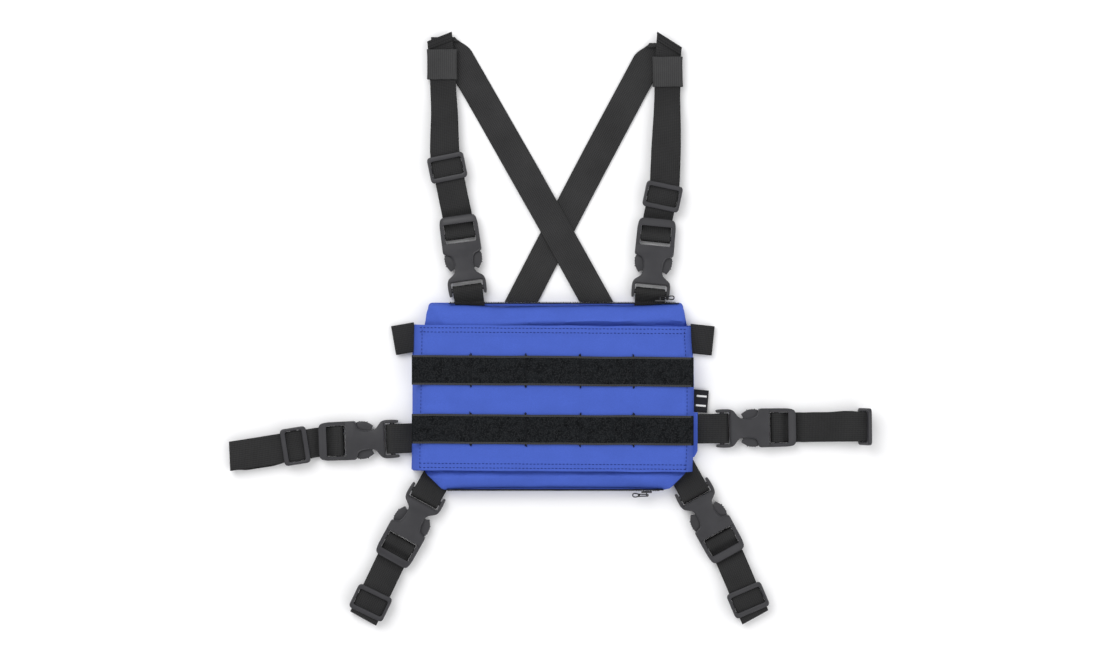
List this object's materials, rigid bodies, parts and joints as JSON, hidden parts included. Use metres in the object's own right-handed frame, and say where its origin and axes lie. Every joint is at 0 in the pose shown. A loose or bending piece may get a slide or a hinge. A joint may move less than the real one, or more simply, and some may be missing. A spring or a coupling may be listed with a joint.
{
  "type": "safety harness vest",
  "caption": "Chest pack harness: a flat zipped pouch with loop strips, crossed shoulder straps, and waist and lower straps on side-release buckles.",
  "frame": {"origin": "middle of the pouch's back face, on the plane that the part lies on", "axes": "+X to the right as the front is looked at with the shoulders up, +Y towards the shoulders, +Z out of the pouch's front"},
  "size_m": [0.5445, 0.5044, 0.0221],
  "materials": {
    "blue_cloth": "coated woven polyester",
    "black_webbing": "ribbed nylon webbing",
    "loop_pile": "fuzzy loop tape",
    "elastic": "woven elastic",
    "buckle_plastic": "satin moulded acetal",
    "zip_tape": "woven tape with a moulded coil",
    "zip_metal": "black enamel",
    "pull_cord": "braided cord",
    "label_weave": "woven label"
  },
  "bodies": {
    "pouch": {"back_panel": "blue_cloth", "pouch_shell": "blue_cloth", "front_sleeve": "blue_cloth", "loop_strip_upper": "loop_pile", "loop_strip_lower": "loop_pile", "side_tab_left": "black_webbing", "side_tab_right": "black_webbing", "label_tag": "label_weave", "top_zip_tape": "zip_tape", "bottom_zip_tape": "zip_tape", "left_shoulder_anchor": "black_webbing", "right_shoulder_anchor": "black_webbing", "left_waist_anchor": "black_webbing", "right_waist_anchor": "black_webbing", "left_lower_anchor": "black_webbing", "right_lower_anchor": "black_webbing"},
    "yoke": {"left_shoulder_back_strap": "black_webbing", "left_shoulder_keeper": "elastic", "left_shoulder_strap": "black_webbing", "right_shoulder_back_strap": "black_webbing", "right_shoulder_keeper": "elastic", "right_shoulder_strap": "black_webbing"},
    "left_shoulder_plug": {"left_shoulder_plug": "buckle_plastic"},
    "left_shoulder_prong_a": {"left_shoulder_prong_a": "buckle_plastic"},
    "left_shoulder_prong_b": {"left_shoulder_prong_b": "buckle_plastic"},
    "left_shoulder_socket": {"left_shoulder_socket": "buckle_plastic"},
    "left_shoulder_slide": {"left_shoulder_slide": "buckle_plastic"},
    "right_shoulder_plug": {"right_shoulder_plug": "buckle_plastic"},
    "right_shoulder_prong_a": {"right_shoulder_prong_a": "buckle_plastic"},
    "right_shoulder_prong_b": {"right_shoulder_prong_b": "buckle_plastic"},
    "right_shoulder_socket": {"right_shoulder_socket": "buckle_plastic"},
    "right_shoulder_slide": {"right_shoulder_slide": "buckle_plastic"},
    "left_waist_plug": {"left_waist_plug": "buckle_plastic"},
    "left_waist_prong_a": {"left_waist_prong_a": "buckle_plastic"},
    "left_waist_prong_b": {"left_waist_prong_b": "buckle_plastic"},
    "left_waist_socket": {"left_waist_socket": "buckle_plastic", "left_waist_strap": "black_webbing"},
    "left_waist_slide": {"left_waist_slide": "buckle_plastic"},
    "right_waist_plug": {"right_waist_plug": "buckle_plastic"},
    "right_waist_prong_a": {"right_waist_prong_a": "buckle_plastic"},
    "right_waist_prong_b": {"right_waist_prong_b": "buckle_plastic"},
    "right_waist_socket": {"right_waist_socket": "buckle_plastic", "right_waist_strap": "black_webbing"},
    "right_waist_slide": {"right_waist_slide": "buckle_plastic"},
    "left_lower_plug": {"left_lower_plug": "buckle_plastic"},
    "left_lower_prong_a": {"left_lower_prong_a": "buckle_plastic"},
    "left_lower_prong_b": {"left_lower_prong_b": "buckle_plastic"},
    "left_lower_socket": {"left_lower_socket": "buckle_plastic", "left_lower_strap": "black_webbing"},
    "left_lower_slide": {"left_lower_slide": "buckle_plastic"},
    "right_lower_plug": {"right_lower_plug": "buckle_plastic"},
    "right_lower_prong_a": {"right_lower_prong_a": "buckle_plastic"},
    "right_lower_prong_b": {"right_lower_prong_b": "buckle_plastic"},
    "right_lower_socket": {"right_lower_socket": "buckle_plastic", "right_lower_strap": "black_webbing"},
    "right_lower_slide": {"right_lower_slide": "buckle_plastic"},
    "top_zip_slider": {"top_zip_slider": "zip_metal"},
    "top_zip_pull": {"top_zip_pull": "pull_cord"},
    "bottom_zip_slider": {"bottom_zip_slider": "zip_metal"},
    "bottom_zip_pull": {"bottom_zip_pull": "pull_cord"}
  },
  "joints": [
    {"name": "yoke_fold", "type": "hinge", "parent": "pouch", "child": "yoke", "pos_m": [0, 0.088, 0.0095], "axis": [1, 0, 0], "range_deg": [0, 90]},
    {"name": "left_shoulder_fold", "type": "hinge", "parent": "pouch", "child": "left_shoulder_plug", "pos_m": [0, 0.088, 0.0095], "axis": [1, 0, 0], "range_deg": [0, 90], "deforming": ["left_shoulder_anchor"]},
    {"name": "left_shoulder_release", "type": "slide", "parent": "yoke", "child": "left_shoulder_socket", "axis": [-0.1383, 0.9904, 0], "range_m": [0, 0.03], "deforming": ["left_shoulder_strap"]},
    {"name": "left_shoulder_prong_a_press", "type": "hinge", "parent": "left_shoulder_plug", "child": "left_shoulder_prong_a", "pos_m": [-0.06879, 0.10838, 0.0057], "axis": [0, 0, 1], "range_deg": [0, 8], "stiffness_Nm_per_rad": 0.05},
    {"name": "left_shoulder_prong_b_press", "type": "hinge", "parent": "left_shoulder_plug", "child": "left_shoulder_prong_b", "pos_m": [-0.07988, 0.10683, 0.0057], "axis": [0, 0, 1], "range_deg": [-8, 0], "stiffness_Nm_per_rad": 0.05},
    {"name": "left_shoulder_slide_travel", "type": "slide", "parent": "left_shoulder_socket", "child": "left_shoulder_slide", "axis": [-0.2014, 0.9795, 0], "range_m": [-0.01, 0.025]},
    {"name": "right_shoulder_fold", "type": "hinge", "parent": "pouch", "child": "right_shoulder_plug", "pos_m": [0, 0.088, 0.0095], "axis": [1, 0, 0], "range_deg": [0, 90], "deforming": ["right_shoulder_anchor"]},
    {"name": "right_shoulder_release", "type": "slide", "parent": "yoke", "child": "right_shoulder_socket", "axis": [0.0956, 0.9954, 0], "range_m": [0, 0.03], "deforming": ["right_shoulder_strap"]},
    {"name": "right_shoulder_prong_a_press", "type": "hinge", "parent": "right_shoulder_plug", "child": "right_shoulder_prong_a", "pos_m": [0.08993, 0.10427, 0.0057], "axis": [0, 0, 1], "range_deg": [0, 8], "stiffness_Nm_per_rad": 0.05},
    {"name": "right_shoulder_prong_b_press", "type": "hinge", "parent": "right_shoulder_plug", "child": "right_shoulder_prong_b", "pos_m": [0.07878, 0.10534, 0.0057], "axis": [0, 0, 1], "range_deg": [-8, 0], "stiffness_Nm_per_rad": 0.05},
    {"name": "right_shoulder_slide_travel", "type": "slide", "parent": "right_shoulder_socket", "child": "right_shoulder_slide", "axis": [0.2059, 0.9786, 0], "range_m": [0, 0.03]},
    {"name": "left_waist_fold", "type": "hinge", "parent": "pouch", "child": "left_waist_plug", "pos_m": [-0.1253, -0.03409, 0.0095], "axis": [-0.0412, 0.9992, 0], "range_deg": [0, 90], "deforming": ["left_waist_anchor"]},
    {"name": "left_waist_release", "type": "slide", "parent": "left_waist_plug", "child": "left_waist_socket", "axis": [-0.9992, -0.0412, 0], "range_m": [0, 0.032]},
    {"name": "left_waist_prong_a_press", "type": "hinge", "parent": "left_waist_plug", "child": "left_waist_prong_a", "pos_m": [-0.15101, -0.02955, 0.0057], "axis": [0, 0, 1], "range_deg": [0, 8], "stiffness_Nm_per_rad": 0.05},
    {"name": "left_waist_prong_b_press", "type": "hinge", "parent": "left_waist_plug", "child": "left_waist_prong_b", "pos_m": [-0.15055, -0.04074, 0.0057], "axis": [0, 0, 1], "range_deg": [-8, 0], "stiffness_Nm_per_rad": 0.05},
    {"name": "left_waist_slide_travel", "type": "slide", "parent": "left_waist_socket", "child": "left_waist_slide", "axis": [-0.9876, -0.1571, 0], "range_m": [0, 0.03]},
    {"name": "right_waist_fold", "type": "hinge", "parent": "pouch", "child": "right_waist_plug", "pos_m": [0.1282, -0.02596, 0.0095], "axis": [0.0162, -0.9999, 0], "range_deg": [0, 90], "deforming": ["right_waist_anchor"]},
    {"name": "right_waist_release", "type": "slide", "parent": "right_waist_plug", "child": "right_waist_socket", "axis": [0.9999, 0.0162, 0], "range_m": [0, 0.032]},
    {"name": "right_waist_prong_a_press", "type": "hinge", "parent": "right_waist_plug", "child": "right_waist_prong_a", "pos_m": [0.15879, -0.03107, 0.0057], "axis": [0, 0, 1], "range_deg": [0, 8], "stiffness_Nm_per_rad": 0.05},
    {"name": "right_waist_prong_b_press", "type": "hinge", "parent": "right_waist_plug", "child": "right_waist_prong_b", "pos_m": [0.15861, -0.01987, 0.0057], "axis": [0, 0, 1], "range_deg": [-8, 0], "stiffness_Nm_per_rad": 0.05},
    {"name": "right_waist_slide_tilt", "type": "hinge", "parent": "right_waist_socket", "child": "right_waist_slide", "pos_m": [0.26439, -0.02404, 0.0113], "axis": [0.0115, -0.9999, 0], "range_deg": [-15, 15]},
    {"name": "left_lower_fold", "type": "hinge", "parent": "pouch", "child": "left_lower_plug", "pos_m": [-0.10197, -0.07403, 0.0095], "axis": [-0.8745, 0.485, 0], "range_deg": [0, 90], "deforming": ["left_lower_anchor"]},
    {"name": "left_lower_release", "type": "slide", "parent": "left_lower_plug", "child": "left_lower_socket", "axis": [-0.485, -0.8745, 0], "range_m": [0, 0.032]},
    {"name": "left_lower_prong_a_press", "type": "hinge", "parent": "left_lower_plug", "child": "left_lower_prong_a", "pos_m": [-0.11924, -0.09361, 0.0057], "axis": [0, 0, 1], "range_deg": [0, 8], "stiffness_Nm_per_rad": 0.05},
    {"name": "left_lower_prong_b_press", "type": "hinge", "parent": "left_lower_plug", "child": "left_lower_prong_b", "pos_m": [-0.10945, -0.09904, 0.0057], "axis": [0, 0, 1], "range_deg": [-8, 0], "stiffness_Nm_per_rad": 0.05},
    {"name": "left_lower_slide_travel", "type": "slide", "parent": "left_lower_socket", "child": "left_lower_slide", "axis": [-0.4333, -0.9012, 0], "range_m": [-0.022, 0]},
    {"name": "right_lower_fold", "type": "hinge", "parent": "pouch", "child": "right_lower_plug", "pos_m": [0.11469, -0.06992, 0.0095], "axis": [-0.8761, -0.4821, 0], "range_deg": [0, 90], "deforming": ["right_lower_anchor"]},
    {"name": "right_lower_release", "type": "slide", "parent": "right_lower_plug", "child": "right_lower_socket", "axis": [0.4821, -0.8761, 0], "range_m": [0, 0.032]},
    {"name": "right_lower_prong_a_press", "type": "hinge", "parent": "right_lower_plug", "child": "right_lower_prong_a", "pos_m": [0.12208, -0.09496, 0.0057], "axis": [0, 0, 1], "range_deg": [0, 8], "stiffness_Nm_per_rad": 0.05},
    {"name": "right_lower_prong_b_press", "type": "hinge", "parent": "right_lower_plug", "child": "right_lower_prong_b", "pos_m": [0.13189, -0.08956, 0.0057], "axis": [0, 0, 1], "range_deg": [-8, 0], "stiffness_Nm_per_rad": 0.05},
    {"name": "right_lower_slide_travel", "type": "slide", "parent": "right_lower_socket", "child": "right_lower_slide", "axis": [0.3919, -0.92, 0], "range_m": [-0.022, 0]},
    {"name": "top_zip_travel", "type": "slide", "parent": "pouch", "child": "top_zip_slider", "axis": [1, 0, 0], "range_m": [-0.165, 0.01]},
    {"name": "bottom_zip_travel", "type": "slide", "parent": "pouch", "child": "bottom_zip_slider", "axis": [1, 0, 0], "range_m": [-0.155, 0.008]},
    {"name": "top_zip_pull_swing", "type": "hinge", "parent": "top_zip_slider", "child": "top_zip_pull", "pos_m": [0.091, 0.0857, 0.0119], "axis": [0, 0, 1], "range_deg": [0, 180]},
    {"name": "bottom_zip_pull_swing", "type": "hinge", "parent": "bottom_zip_slider", "child": "bottom_zip_pull", "pos_m": [0.0795, -0.0827, 0.0119], "axis": [0, 0, 1], "range_deg": [0, 180]}
  ],
  "couplings": [
    {"joint": "left_shoulder_fold", "follows": "yoke_fold", "ratio": 1},
    {"joint": "left_shoulder_prong_b_press", "follows": "left_shoulder_prong_a_press", "ratio": -1},
    {"joint": "right_shoulder_fold", "follows": "yoke_fold", "ratio": 1},
    {"joint": "right_shoulder_prong_b_press", "follows": "right_shoulder_prong_a_press", "ratio": -1},
    {"joint": "left_waist_prong_b_press", "follows": "left_waist_prong_a_press", "ratio": -1},
    {"joint": "right_waist_prong_b_press", "follows": "right_waist_prong_a_press", "ratio": -1},
    {"joint": "left_lower_prong_b_press", "follows": "left_lower_prong_a_press", "ratio": -1},
    {"joint": "right_lower_prong_b_press", "follows": "right_lower_prong_a_press", "ratio": -1}
  ]
}
